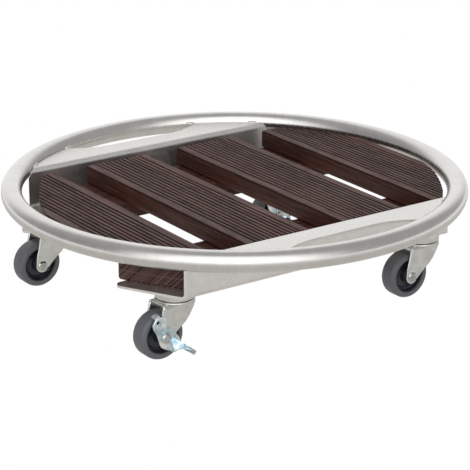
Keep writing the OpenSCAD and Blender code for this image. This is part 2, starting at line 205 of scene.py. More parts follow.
def makeGrain():
    # streaks along the stock's length, darker pores, and a slow change of tone
    tree, given, out = groupTree("grain", [
        ("Vector", "Vector", None), ("Stretch", "Vector", (1, 0.05, 1)),
        ("Dark", "Color", (0.03, 0.015, 0.013, 1)), ("Light", "Color", (0.09, 0.05, 0.045, 1))],
        [("Color", "Color"), ("Roughness", "Float"), ("Height", "Float")])
    streak = stretchedNoise(tree, given["Vector"], given["Stretch"], 520.0, 5.0, 0.65)
    pore = stretchedNoise(tree, given["Vector"], given["Stretch"], 1900.0, 2.0)
    slow = stretchedNoise(tree, given["Vector"], given["Stretch"], 70.0, 3.0)
    streakPart = mathNode(tree, "MULTIPLY", streak, 0.6)
    both = mathNode(tree, "ADD", streakPart, mathNode(tree, "MULTIPLY", slow, 0.4))
    tone = rangeOf(tree, both, 0.34, 0.66, 0.0, 1.0)
    body = mixColour(tree, tone, given["Dark"], given["Light"])
    poreMask = rangeOf(tree, pore, 0.3, 0.42, 0.45, 0.0)
    tree.links.new(mixColour(tree, poreMask, body, given["Dark"]), out["Color"])
    tree.links.new(rangeOf(tree, streak, 0.3, 0.7, 0.62, 0.42), out["Roughness"])
    tree.links.new(mathNode(tree, "ADD", streak, mathNode(tree, "MULTIPLY", pore, 0.5)), out["Height"])
    return tree


def makeWear():
    # paler metal where an edge or corner has rubbed
    tree, given, out = groupTree("edgeWear", [
        ("Vector", "Vector", None), ("Color", "Color", (0.5, 0.5, 0.5, 1)),
        ("Worn Color", "Color", (0.8, 0.8, 0.8, 1)), ("Amount", "Float", 0.5)],
        [("Color", "Color"), ("Mask", "Float")])
    shape = tree.nodes.new("ShaderNodeNewGeometry")
    edge = rangeOf(tree, shape.outputs["Pointiness"], 0.5, 0.58, 0.0, 1.0)
    cloud = stretchedNoise(tree, given["Vector"], (1, 1, 1), 420.0, 5.0, 0.7)
    patch = rangeOf(tree, cloud, 0.4, 0.65, 0.3, 1.0)
    mask = mathNode(tree, "MULTIPLY", mathNode(tree, "MULTIPLY", edge, patch), given["Amount"])
    tree.links.new(mixColour(tree, mask, given["Color"], given["Worn Color"]), out["Color"])
    tree.links.new(mask, out["Mask"])
    return tree


def makeSawMarks():
    # slanting saw lines on upright faces that a cut across the stock has left
    tree, given, out = groupTree("sawMarks", [
        ("Vector", "Vector", None), ("Color", "Color", (0.1, 0.1, 0.1, 1)),
        ("Dark", "Color", (0.01, 0.01, 0.01, 1)), ("Light", "Color", (0.2, 0.2, 0.2, 1)),
        ("Line Height", "Float", 0.07)], [("Color", "Color"), ("Mask", "Float")])
    apart = tree.nodes.new("ShaderNodeSeparateXYZ")
    tree.links.new(given["Vector"], apart.inputs[0])
    x = mathNode(tree, "MULTIPLY", apart.outputs["X"], 0.839)
    along = mathNode(tree, "SUBTRACT", x, mathNode(tree, "MULTIPLY", apart.outputs["Y"], 0.545))
    slant = mathNode(tree, "SUBTRACT", along, mathNode(tree, "MULTIPLY", apart.outputs["Z"], 0.9))
    together = tree.nodes.new("ShaderNodeCombineXYZ")
    tree.links.new(slant, together.inputs[0])
    lines = stretchedNoise(tree, together.outputs[0], (1, 1, 1), 560.0, 3.0)
    facing = tree.nodes.new("ShaderNodeNewGeometry")
    normal = tree.nodes.new("ShaderNodeSeparateXYZ")
    tree.links.new(facing.outputs["Normal"], normal.inputs[0])
    acrossX = mathNode(tree, "ABSOLUTE", normal.outputs["X"], 0)
    acrossY = mathNode(tree, "ABSOLUTE", normal.outputs["Y"], 0)
    cutX = rangeOf(tree, acrossX, 0.25, 0.45, 0.0, 1.0)
    cutY = rangeOf(tree, acrossY, 0.25, 0.45, 0.0, 1.0)
    cut = mathNode(tree, "MULTIPLY", cutX, cutY)
    mask = mathNode(tree, "MULTIPLY", cut, 0.9)
    marked = mixColour(tree, rangeOf(tree, lines, 0.42, 0.6, 0.0, 1.0), given["Dark"], given["Light"])
    level = mathNode(tree, "SUBTRACT", apart.outputs["Z"], given["Line Height"])
    line = rangeOf(tree, mathNode(tree, "ABSOLUTE", level, 0), 0.0002, 0.0006, 0.75, 0.0)
    lined = mixColour(tree, line, marked, given["Light"])
    tree.links.new(mixColour(tree, mask, given["Color"], lined), out["Color"])
    tree.links.new(mask, out["Mask"])
    return tree


brushing = makeBrushing()
dust = makeDust()
grain = makeGrain()
edgeWear = makeWear()
sawMarks = makeSawMarks()
print("shared effects made")


def newMaterial(name, **values):
    material = bpy.data.materials.new(name)
    material.use_nodes = True
    tree = material.node_tree
    shader = tree.nodes["Principled BSDF"]
    setInputs(shader, **values)
    place = tree.nodes.new("ShaderNodeTexCoord").outputs["Object"]
    return material, tree, shader, place


def addBump(tree, shader, height, strength, distance):
    bump = addNode(tree, "ShaderNodeBump")
    setInputs(bump, Strength=strength, Distance=distance)
    tree.links.new(height, bump.inputs["Height"])
    tree.links.new(bump.outputs["Normal"], shader.inputs["Normal"])


def aroundAxis(tree, place):
    # (distance from the vertical axis, angle round it, height), so that noise can run round the ring
    apart = tree.nodes.new("ShaderNodeSeparateXYZ")
    tree.links.new(place, apart.inputs[0])
    x = apart.outputs["X"]
    y = apart.outputs["Y"]
    squares = mathNode(tree, "ADD", mathNode(tree, "MULTIPLY", x, x), mathNode(tree, "MULTIPLY", y, y))
    distance = mathNode(tree, "SQRT", squares, 0)
    together = tree.nodes.new("ShaderNodeCombineXYZ")
    tree.links.new(distance, together.inputs[0])
    tree.links.new(mathNode(tree, "ARCTAN2", y, x), together.inputs[1])
    tree.links.new(apart.outputs["Z"], together.inputs[2])
    return together.outputs[0]


def makeMetal(name, look):
    material, tree, shader, place = newMaterial(name, Metallic=1.0)
    if look.get("round"):
        place = aroundAxis(tree, place)
    brushed = useGroup(tree, brushing, Stretch=look["stretch"], Scale=look["scale"],
                       Low=look["rough"][0], High=look["rough"][1], CloudScale=look["cloud"])
    tree.links.new(place, brushed.inputs["Vector"])
    body = mixColour(tree, brushed.outputs["Cloud"], look["dark"], look["light"])
    worn = useGroup(tree, edgeWear, WornColor=(*look["worn"], 1), Amount=look["wear"])
    tree.links.new(place, worn.inputs["Vector"])
    tree.links.new(body, worn.inputs["Color"])
    tree.links.new(worn.outputs["Color"], shader.inputs["Base Color"])
    tree.links.new(brushed.outputs["Roughness"], shader.inputs["Roughness"])
    addBump(tree, shader, brushed.outputs["Height"], look["bump"], 0.00005)
    return material


ringLook = {"round": True, "stretch": (1, 0.012, 1), "scale": 1500.0, "rough": (0.24, 0.29),
            "dark": (0.66, 0.65, 0.63), "light": (0.71, 0.70, 0.68), "worn": (0.85, 0.85, 0.84), "wear": 0.1,
            "bump": 0.0015, "cloud": 14.0}
sheetLook = {"stretch": (0.03, 1, 1), "scale": 1100.0, "rough": (0.36, 0.48), "dark": (0.69, 0.67, 0.64),
             "light": (0.74, 0.72, 0.69), "worn": (0.9, 0.9, 0.89), "wear": 0.5, "bump": 0.004, "cloud": 38.0}
zincLook = {"stretch": (1, 1, 1), "scale": 420.0, "rough": (0.2, 0.28), "dark": (0.64, 0.65, 0.63),
            "light": (0.78, 0.79, 0.77), "worn": (0.85, 0.86, 0.86), "wear": 0.5, "bump": 0.004,
            "cloud": 90.0}
pinLook = {"stretch": (1, 1, 1), "scale": 500.0, "rough": (0.14, 0.24), "dark": (0.4, 0.4, 0.39),
           "light": (0.6, 0.6, 0.59), "worn": (0.8, 0.8, 0.8), "wear": 0.6, "bump": 0.01, "cloud": 160.0}
leverLook = {"stretch": (1, 1, 1), "scale": 160.0, "rough": (0.06, 0.14), "dark": (0.4, 0.55, 0.63),
             "light": (0.94, 0.97, 0.98), "worn": (0.97, 0.98, 0.98), "wear": 0.8, "bump": 0.35,
             "cloud": 150.0}
weldLook = {"stretch": (1, 1, 1), "scale": 900.0, "rough": (0.25, 0.45), "dark": (0.6, 0.56, 0.5),
            "light": (0.85, 0.83, 0.8), "worn": (0.9, 0.9, 0.88), "wear": 0.4, "bump": 0.05, "cloud": 200.0}

ringSteel = makeMetal("satinRingSteel", ringLook)
sheetSteel = makeMetal("brushedSheetSteel", sheetLook)
plainZinc = makeMetal("plainZinc", zincLook)
pinSteel = makeMetal("pinSteel", pinLook)
blueZinc = makeMetal("blueZinc", leverLook)
weldSteel = makeMetal("weldSteel", weldLook)


def makeWood(name, look):
    material, tree, shader, place = newMaterial(name, SpecularIORLevel=0.2)
    streaks = useGroup(tree, grain, Stretch=look["stretch"], Dark=(*look["dark"], 1),
                       Light=(*look["light"], 1))
    tree.links.new(place, streaks.inputs["Vector"])
    sawn = useGroup(tree, sawMarks, Dark=(0.006, 0.003, 0.003, 1), Light=(*look["sawn"], 1),
                    LineHeight=look["line"])
    tree.links.new(place, sawn.inputs["Vector"])
    tree.links.new(streaks.outputs["Color"], sawn.inputs["Color"])
    dusty = useGroup(tree, dust, DustColor=(*look["dustColour"], 1), Amount=look["dust"])
    tree.links.new(place, dusty.inputs["Vector"])
    tree.links.new(sawn.outputs["Color"], dusty.inputs["Color"])
    # painted shade: the grooves are coloured dark and made dull below the level of the ridges
    apart = tree.nodes.new("ShaderNodeSeparateXYZ")
    tree.links.new(place, apart.inputs[0])
    sunk = rangeOf(tree, apart.outputs["Z"], look["ridge"] - 0.0005, look["ridge"] - 0.00005, 1.0, 0.0)
    flat = rangeOf(tree, apart.outputs["Z"], look["ridge"] - 0.0016, look["ridge"] - 0.0012, 0.0, 1.0)
    groove = mathNode(tree, "MULTIPLY", sunk, flat)
    grooveShade = mathNode(tree, "MULTIPLY", groove, 0.85)
    toned = mixColour(tree, grooveShade, dusty.outputs["Color"], (0.003, 0.0015, 0.0015))
    tree.links.new(toned, shader.inputs["Base Color"])
    dull = mathNode(tree, "ADD", streaks.outputs["Roughness"], mathNode(tree, "MULTIPLY", groove, 0.4))
    tree.links.new(dull, shader.inputs["Roughness"])
    addBump(tree, shader, streaks.outputs["Height"], look["bump"], 0.0002)
    return material


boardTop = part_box("board_1")[1].z
boardLook = {"stretch": (1, 0.04, 1), "dark": (0.014, 0.0055, 0.0045), "light": (0.084, 0.031, 0.022),
             "dustColour": (0.26, 0.14, 0.12), "dust": 0.14, "bump": 0.3, "sawn": (0.15, 0.08, 0.072),
             "ridge": boardTop, "line": 0.2}  # a line height above the deck: no line
battenLook = {"stretch": (0.04, 1, 1), "dark": (0.014, 0.0055, 0.0045), "light": (0.084, 0.031, 0.022),
              "dustColour": (0.26, 0.14, 0.12), "dust": 0.06, "bump": 0.3, "sawn": (0.15, 0.08, 0.072),
              "ridge": 0.5, "line": float(middle("batten_front")[2])}  # a ridge out of reach: no grooves
boardWood = makeWood("stainedBoard", boardLook)
battenWood = makeWood("stainedBatten", battenLook)


def makeMoulded(name, look):
    material, tree, shader, place = newMaterial(name, SpecularIORLevel=look["specular"])
    dusty = useGroup(tree, dust, Color=(*look["colour"], 1), DustColor=(*look["dustColour"], 1),
                     Amount=look["dust"])
    tree.links.new(place, dusty.inputs["Vector"])
    tree.links.new(dusty.outputs["Color"], shader.inputs["Base Color"])
    pores = stretchedNoise(tree, place, (1, 1, 1), look["poreScale"], 3.0)
    low, high = look["rough"]
    tree.links.new(rangeOf(tree, pores, 0.35, 0.65, low, high), shader.inputs["Roughness"])
    addBump(tree, shader, pores, look["bump"], 0.0001)
    return material


tyreLook = {"colour": (0.1, 0.102, 0.116), "dustColour": (0.2, 0.2, 0.2), "dust": 0.3, "specular": 0.4,
            "poreScale": 900.0, "rough": (0.34, 0.48), "bump": 0.12}
hubLook = {"colour": (0.016, 0.017, 0.026), "dustColour": (0.12, 0.12, 0.13), "dust": 0.12, "specular": 0.5,
           "poreScale": 700.0, "rough": (0.2, 0.32), "bump": 0.06}
tyreRubber = makeMoulded("greyTyre", tyreLook)
hubPlastic = makeMoulded("blackHub", hubLook)
print("materials made")


def gridFaces(rows, columns, wrapRows, wrapColumns, start=0):
    # each face joins a grid point to its neighbours in the next row and the next column
    r = np.arange(rows if wrapRows else rows - 1)
    c = np.arange(columns if wrapColumns else columns - 1)
    rr, cc = np.meshgrid(r, c, indexing="ij")
    nextR = (rr + 1) % rows
    nextC = (cc + 1) % columns
    here = rr * columns
    beyond = nextR * columns
    quads = np.stack([here + cc, here + nextC, beyond + nextC, beyond + cc], -1)
    return quads.reshape(-1, 4) + start


def meshOf(name, parts):
    # parts: (points on a grid, rows closed, columns closed); the grids are put into one mesh
    points = []
    faces = []
    start = 0
    for grid, wrapRows, wrapColumns in parts:
        rows, columns = grid.shape[:2]
        points.append(grid.reshape(-1, 3))
        faces.append(gridFaces(rows, columns, wrapRows, wrapColumns, start))
        start += rows * columns
    points = np.concatenate(points)
    faces = np.concatenate(faces)
    mesh = bpy.data.meshes.new(name)
    mesh.vertices.add(len(points))
    mesh.vertices.foreach_set("co", points.astype(np.float32).ravel())
    mesh.loops.add(faces.size)
    mesh.loops.foreach_set("vertex_index", faces.astype(np.int32).ravel())
    mesh.polygons.add(len(faces))
    mesh.polygons.foreach_set("loop_start", np.arange(0, faces.size, 4, dtype=np.int32))
    mesh.update(calc_edges=True)
    mesh.validate()
    return mesh


mergeDistance = 0.00002  # points this near to each other are one point


def placePiece(name, parts, material, body, nodes, thick=0.0, smooth=40):
    # puts the grids into one object, which rides on body and stands in for the nodes
    mesh = meshOf(name, parts)
    work = bmesh.new()
    work.from_mesh(mesh)
    bmesh.ops.remove_doubles(work, verts=work.verts, dist=mergeDistance)
    bmesh.ops.dissolve_degenerate(work, dist=mergeDistance, edges=work.edges)
    bmesh.ops.recalc_face_normals(work, faces=work.faces)
    work.to_mesh(mesh)
    work.free()
    mesh.materials.append(material)
    mesh.shade_smooth()
    obj = bpy.data.objects.new(name, mesh)
    scene.collection.objects.link(obj)
    if thick:
        wall = obj.modifiers.new("sheet", "SOLIDIFY")
        wall.thickness = thick
        wall.offset = -1
    mesh.set_sharp_from_angle(angle=math.radians(smooth))
    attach(obj, body)
    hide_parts(*nodes)
    return obj


def turned(profile, centre, axis, steps):
    # a profile of (radius, place along the axis) carried round the axis through centre
    profile = np.asarray(profile, float) * mm
    angle = np.linspace(0, 2 * np.pi, steps, endpoint=False)[:, None]
    r, along = profile[None, :, 0], profile[None, :, 1]
    first = r * np.cos(angle)
    second = r * np.sin(angle)
    along = along + 0 * angle
    order = [first, along, second] if axis == "y" else [first, second, along]
    return np.stack(order, -1) + np.asarray(centre)


def arc(cx, cy, r, fromDeg, toDeg, steps=8):
    # points on a circle's arc: centre plus radius times (cosine, sine)
    a = np.radians(np.linspace(fromDeg, toDeg, steps))
    return np.stack([cx + r * np.cos(a), cy + r * np.sin(a)], -1)


ring = {"steps": 420, "around": 56, "seams": (196.0, 335.0), "seamWidth": 0.35, "seamHeight": 0.00012,
        "inset": 0.0001}


def makeRing():
    # a torus: the tube's circle carried round, its radius a hair larger at the two joints
    low, high = (np.array(v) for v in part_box("ring_tube"))
    tube = (high[2] - low[2]) / 2
    big = high[0] - tube
    u = np.linspace(0, 2 * np.pi, ring["steps"], endpoint=False)[:, None]
    v = np.linspace(0, 2 * np.pi, ring["around"], endpoint=False)[None, :]
    swell = 0 * u
    for seam in ring["seams"]:
        off = (np.degrees(u) - seam + 180) % 360 - 180
        swell = swell + ring["seamHeight"] * np.exp(-(off / ring["seamWidth"]) ** 2)
    r = tube - ring["inset"] + swell
    out = big + r * np.cos(v)
    grid = np.stack([out * np.cos(u), out * np.sin(u), (low[2] + high[2]) / 2 + r * np.sin(v)], -1)
    placePiece("ringTube", [(grid, True, True)], ringSteel, "frame", ["ring_tube"], smooth=180)


makeRing()


weld = {"radius": 1.5, "length": 8.0, "ripples": 7, "rippleHeight": 0.16, "sunk": 0.0016, "flat": 0.8}


def makeWelds():
    # each bead: a short half-round run along the seam, its radius rippled and drawn in at its ends
    parts = []
    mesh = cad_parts["ring_welds"].data
    points = np.empty(len(mesh.vertices) * 3, np.float32)
    mesh.vertices.foreach_get("co", points)
    points = points.reshape(-1, 3)
    angles = np.degrees(np.arctan2(points[:, 1], points[:, 0])) % 360
    bins = np.round(angles / 3) * 3
    spots = []
    for value in sorted(set(bins.tolist())):
        if not spots or value - spots[-1][-1] > 5:
            spots.append([value])
        else:
            spots[-1].append(value)
    top = float(points[:, 2].max()) - weld["sunk"]
    out = float(np.median(np.hypot(points[:, 0], points[:, 1])))
    for group in spots:
        inside = (bins >= group[0]) & (bins <= group[-1])
        mid = np.radians((angles[inside].min() + angles[inside].max()) / 2)
        t = np.linspace(-1, 1, 43)[:, None]
        v = np.linspace(0, 2 * np.pi, 18, endpoint=False)[None, :]
        run = weld["length"] * mm / out
        u = mid + t * run / 2
        r = weld["radius"] * mm * np.sqrt(np.clip(1 - t ** 4, 0, 1))
        r = r + weld["rippleHeight"] * mm * np.abs(np.sin(t * np.pi * weld["ripples"] / 2)) * (1 - t ** 4)
        away = out + r * np.cos(v)
        grid = np.stack([away * np.cos(u), away * np.sin(u), top + r * weld["flat"] * np.sin(v)], -1)
        parts.append((grid, False, True))
    placePiece("weldBeads", parts, weldSteel, "frame", ["ring_welds"], smooth=60)


makeWelds()
print("ring and welds made")


tyre = {"radius": 20.0, "half": 8.0, "shoulder": 3.6, "bore": 14.7, "crown": 0.25, "steps": 96}


def tyreProfile():
    # flat tread with a slight crown, round shoulders and a small lip at the dish
    r = tyre["radius"]
    h = tyre["half"]
    s = tyre["shoulder"]
    b = tyre["bore"]
    side = [(b, -h + 0.9), (b + 0.3, -h + 0.25), (b + 1.0, -h)]
    left = arc(r - s, -h + s, s, -90, -8, 12)
    across = np.linspace(-1, 1, 9)
    tread = np.stack([r - tyre["crown"] * across ** 2 * 0.5, np.linspace(-h + s, h - s, 9)], -1)[1:-1]
    right = arc(r - s, h - s, s, 8, 90, 12)
    end = [(b + 1.0, h), (b + 0.3, h - 0.25), (b, h - 0.9)]
    return np.concatenate([side, left, tread, right, end])


# the hub's outline: (radius, depth below the wheel's face)
hub = {"steps": 96, "outline": ((4.66, -0.7), (5.9, -0.7), (6.3, -0.1), (6.7, 5.4), (8.6, 6.0), (11.2, 6.0),
                                (11.6, 5.4), (12.9, 4.6), (13.5, 2.2), (13.9, 1.25), (14.3, 1.0),
                                (14.68, 1.3))}


def hubProfile():
    # rim, deep dish with two steps, and a raised boss round the bore, the same on both sides
    one = [(r, depth - tyre["half"]) for r, depth in hub["outline"]]
    return one + [(r, -z) for r, z in reversed(one)]


race = {"steps": 96, "bore": 3.05, "shoulder": 5.4, "skirtTop": 5.6, "flat": 0.55,
        "lip": ((0.0, 1.0), (0.15, 0.4), (0.6, 0.0), (1.15, 0.2), (1.3, 0.8), (1.4, 3.0)), "under": 3.0}


def raceProfile(node):
    # pressed dome: flat top under the rail, a round shoulder, a straight skirt with a rolled lip
    low, high = (np.array(v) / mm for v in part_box(node))
    outer = (high[0] - low[0]) / 2
    top = high[2]
    bottom = low[2]
    bend = race["shoulder"]
    shoulder = arc(outer - bend, top - race["skirtTop"], bend, 90, 0, 14)
    lip = [(outer - inset, bottom + lift) for inset, lift in race["lip"]]
    start = [(race["bore"], top), (outer * race["flat"], top)]
    return start + [tuple(p) for p in shoulder] + lip + [(race["bore"], bottom + race["under"])]


# left and right: (height, place from the axle) of the legs' trailing and leading edges
fork = {"outer": 11.2, "bend": 3.4, "crown": 47.0, "nose": 16.4, "sheet": 1.6, "endRadius": 5.9,
        "legRows": 34, "bendRows": 9, "across": 25, "footLow": 3.2, "footHigh": 1.4, "footWiden": 4.5,
        "left": ((14.2, 0.0), (20.5, -5.85), (27.7, -5.1), (36.0, -3.0), (45.0, -0.9), (47.0, -0.9)),
        "right": ((14.2, 0.0), (18.6, 6.8), (22.5, 10.8), (26.2, 15.0), (29.8, 19.6), (34.5, 23.4),
                  (41.5, 27.4), (45.0, 28.4), (47.0, 28.6)),
        "boss": 0.45, "bossRadius": 5.0}


def forkGrid(axle, swivel):
    # one sheet folded over the wheel: s runs up one leg, across the crown and down the other,
    # t runs from the trailing edge to the leading edge, whose places depend on the height
    z0 = axle[2] / mm
    straight = np.linspace(0, 1, fork["legRows"])
    low = z0 - fork["endRadius"] + 0.02
    bendStart = fork["crown"] - fork["bend"]
    zLeg = low + (bendStart - low) * straight ** 1.25
    yLeg = np.full_like(zLeg, fork["outer"])
    turn = np.radians(np.linspace(0, 90, fork["bendRows"])[1:])
    yBend = fork["outer"] - fork["bend"] + fork["bend"] * np.cos(turn)
    zBend = bendStart + fork["bend"] * np.sin(turn)
    yTop = np.linspace(yBend[-1], 0, fork["bendRows"])[1:]
    zTop = np.full_like(yTop, fork["crown"])
    y = np.concatenate([yLeg, yBend, yTop])
    z = np.concatenate([zLeg, zBend, zTop])
    y = np.concatenate([-y, y[-2::-1]])
    z = np.concatenate([z, z[-2::-1]])
    leftZ, leftX = np.array(fork["left"]).T
    rightZ, rightX = np.array(fork["right"]).T
    drop = np.clip(z - z0, -fork["endRadius"], 0)
    footCurve = np.sqrt(np.clip(fork["endRadius"] ** 2 - drop ** 2, 0, None))
    xl = np.where(z < z0, -footCurve, np.interp(z, leftZ, leftX))
    xr = np.where(z < z0 - fork["footLow"], footCurve, np.interp(z, rightZ, rightX))
    widened = footCurve + np.clip(z - (z0 - fork["endRadius"]), 0, fork["footWiden"]) * 0.2
    xr = np.where(z < z0 - fork["footHigh"], np.minimum(widened, xr), xr)
    fromSwivel = (swivel[0] - axle[0]) / mm
    onCrown = np.abs(y) < fork["outer"] - 0.01
    noseX = fromSwivel + np.sqrt(np.clip(fork["nose"] ** 2 - y ** 2, 0, None))
    xr = np.where(onCrown & (z > bendStart), np.maximum(xr, noseX), xr)
    t = np.linspace(0, 1, fork["across"])[None, :]
    x = xl[:, None] + (xr - xl)[:, None] * t
    yy = np.repeat(y[:, None], fork["across"], 1)
    zz = np.repeat(z[:, None], fork["across"], 1)
    away = np.hypot(x, zz - z0)
    raised = fork["boss"] / (1 + np.exp((away - fork["bossRadius"]) * 2.4))
    yy = yy + np.sign(yy) * np.where(np.abs(yy) > fork["outer"] - 0.01, raised - fork["boss"], 0)
    return np.stack([x * mm + axle[0], yy * mm + axle[1], zz * mm], -1)


crown = {"steps": 72, "profile": ((4, 46.9), (14.6, 46.9), (15.7, 46.6), (16.2, 46.9), (16.35, 47.5),
                                  (16.2, 48.1), (15.7, 48.5), (14.8, 48.65), (12.8, 48.7), (4, 48.7))}


def crownRace(swivel):
    # the fork's own race: a raised round rim on the crown, inside the raceway's skirt
    return turned(crown["profile"], (swivel[0], swivel[1], 0), "z", crown["steps"])


# the head's outline: (radius, depth below its top), ending at the pin
rivet = {"steps": 48, "outline": ((0.0, 0.0), (1.6, 0.0), (2.6, 0.12), (3.6, 0.45), (4.25, 0.85),
                                  (4.5, 1.1), (3.0, 1.15))}


def rivetProfile(low, high):
    # a straight pin between two domed heads with a small flat in the middle of each
    one = [(r, low + depth) for r, depth in rivet["outline"]]
    other = [(r, high - depth) for r, depth in reversed(rivet["outline"])]
    return one + other


# places are (along X, height) from the wheel's middle
lever = {"sheet": 1.5, "inner": 11.6, "pivot": 3.06,
         "outline": ((-11.4, 15.2), (-9.6, 18.0), (-6.2, 19.6), (-2.6, 18.6), (0.6, 14.4), (4.2, 8.6),
                     (8.6, 3.2), (12.0, -1.6), (13.9, -6.0), (11.0, -9.8), (8.0, -13.3), (3.2, -11.0),
                     (-1.6, -8.8), (-5.4, -6.0), (-7.4, -1.0), (-9.0, 4.4), (-11.8, 9.4), (-12.3, 12.4)),
         "rib": 0.55, "holeSide": 2.5, "hole": (-7.9, 15.3),
         "low": (7.9, -13.3), "top": (13.8, -6.1), "reach": 24.0, "arch": 1.1, "roundTip": 2.2,
         "shoeFrom": 107, "shoeTo": 120, "shoeRadii": (20.55, 22.0), "shoeEnd": 7.2, "shoeNarrow": 0.25}


def smoothLoop(points, count):
    # a closed curve through the points: a spline whose tangents are half the chord between neighbours
    p = np.asarray(points, float)
    n = len(p)
    t = np.linspace(0, n, count, endpoint=False)
    i = np.floor(t).astype(int) % n
    f = (t - np.floor(t))[:, None]
    a, b, c, d = p[(i - 1) % n], p[i], p[(i + 1) % n], p[(i + 2) % n]
    return b + 0.5 * f * (c - a + f * (2 * a - 5 * b + 4 * c - d + f * (3 * (b - c) + d - a)))


def leverGrids(axle):
    # blade: rings from the pivot hole out to the outline, on both faces, raised along a pressed rib
    inner = lever["inner"]
    loop = smoothLoop(lever["outline"], 108)
    angle = np.arctan2(loop[:, 1], loop[:, 0])
    hole = lever["pivot"] * np.stack([np.cos(angle), np.sin(angle)], -1)
    t = np.concatenate([[0], np.linspace(0.02, 0.97, 9), [1]])[:, None, None]
    face = hole[None] + (loop - hole)[None] * t
    along = np.array([0.5, -0.866])
    side = np.array([0.866, 0.5])
    across = face @ side
    down = face @ along
    rib = lever["rib"] * np.exp(-(across / 3.2) ** 2) / (1 + np.exp((down + 5.5) * 1.4))
    rib = rib * (1 - t[..., 0] ** 12)
    front = np.stack([face[..., 0], -(inner + lever["sheet"]) - rib, face[..., 1]], -1)
    behind = np.stack([face[..., 0], -inner - rib * 0.9, face[..., 1]], -1)
    edge = lever["sheet"] * 0.14
    front[-1, :, 1] += edge
    ringRows = np.concatenate([front, behind[::-1]])
    blade = (ringRows * mm + axle, True, True)
    # pedal: a tongue folded square out of the lower corner, rolled a little along its length
    corner = np.array(lever["low"])
    run = np.array(lever["top"]) - corner
    w = np.linalg.norm(run)
    run = run / w
    lift = np.array([-run[1], run[0]])
    u = np.linspace(0, 1, 30)[:, None]
    v = np.linspace(0, 1, 11)[None, :]
    out = u * lever["reach"]
    keep = 0.58 * np.clip(out / (lever["reach"] / 3), 0, 1) ** 0.8
    tip = np.clip((out - (lever["reach"] - lever["roundTip"])) / lever["roundTip"], 0, 1)
    trim = 0.18 * (1 - np.sqrt(np.clip(1 - tip ** 2, 0, 1)))
    s = (keep + trim) * w + ((1 - trim) - (keep + trim)) * w * v
    bow = 0.6 * np.sin(np.pi * (s / w - keep) / np.clip(1 - keep, 0.1, 1)) * np.clip(out / 9, 0, 1)
    wave = np.sin(np.pi * np.clip(out / (lever["reach"] * 0.88), 0, 1.3))
    dip = lever["arch"] * wave * np.clip(out / 3, 0, 1)
    plates = []
    for depth in (0.0, lever["sheet"] * 0.9):
        x = corner[0] + run[0] * s + lift[0] * (bow + dip + depth)
        z = corner[1] + run[1] * s + lift[1] * (bow + dip + depth)
        y = -inner - lever["sheet"] * 0.5 - out * 0.98 + 0 * s
        plates.append(np.stack([x, y, z], -1))
    loopRows = np.concatenate([plates[0], plates[1][:, ::-1]], 1)
    pedal = (loopRows * mm + axle, False, True)
    capEnd = (np.stack([plates[0][-1], plates[1][-1]]) * mm + axle, False, False)
    capStart = (np.stack([plates[0][0], plates[1][0]]) * mm + axle, False, False)
    # shoe: a tab curved round the wheel over the tread, narrower towards its end
    a = np.radians(np.linspace(lever["shoeFrom"], lever["shoeTo"], 14))[:, None]
    d = np.linspace(0, 1, 12)[None, :]
    y = -(inner + lever["sheet"] - 0.1) + d * (inner + lever["sheet"] - lever["shoeEnd"])
    narrow = 1 - lever["shoeNarrow"] * d ** 3
    mid = np.radians((lever["shoeFrom"] + lever["shoeTo"]) / 2)
    aa = mid + (a - mid) * narrow
    shells = []
    for r in lever["shoeRadii"]:
        shells.append(np.stack([r * np.cos(aa), y + 0 * aa, r * np.sin(aa)], -1))
    shoeRows = np.concatenate([shells[0], shells[1][::-1]])
    shoe = (shoeRows * mm + axle, True, False)
    shoeStart = (np.stack([shells[0][:, 0], shells[1][:, 0]]) * mm + axle, False, False)
    shoeStop = (np.stack([shells[0][:, -1], shells[1][:, -1]]) * mm + axle, False, False)
    return [blade], [pedal, capStart, capEnd, shoe, shoeStart, shoeStop]


def punchSquare(blade, axle):
    # a turned square prism taken out of the blade's round top
    half = lever["holeSide"] / 2 ** 0.5
    corner = np.radians(np.arange(4) * 90 + 40 + 45)
    rows = []
    for size, y in ((0, -20.0), (half, -20.0), (half, -5.0), (0, -5.0)):
        x = lever["hole"][0] + size * np.cos(corner)
        z = lever["hole"][1] + size * np.sin(corner)
        rows.append(np.stack([x, y + 0 * x, z], -1))
    mesh = meshOf("squarePunch", [(np.stack(rows) * mm + axle, False, True)])
    work = bmesh.new()
    work.from_mesh(mesh)
    bmesh.ops.remove_doubles(work, verts=work.verts, dist=0.00001)
    bmesh.ops.recalc_face_normals(work, faces=work.faces)
    work.to_mesh(mesh)
    work.free()
    punch = bpy.data.objects.new("squarePunch", mesh)
    scene.collection.objects.link(punch)
    cut = blade.modifiers.new("square", "BOOLEAN")
    cut.operation = "DIFFERENCE"
    cut.solver = "EXACT"
    cut.object = punch
    bpy.context.view_layer.update()
    done = bpy.data.meshes.new_from_object(blade.evaluated_get(bpy.context.evaluated_depsgraph_get()))
    blade.modifiers.clear()
    blade.data = done
    bpy.data.objects.remove(punch)


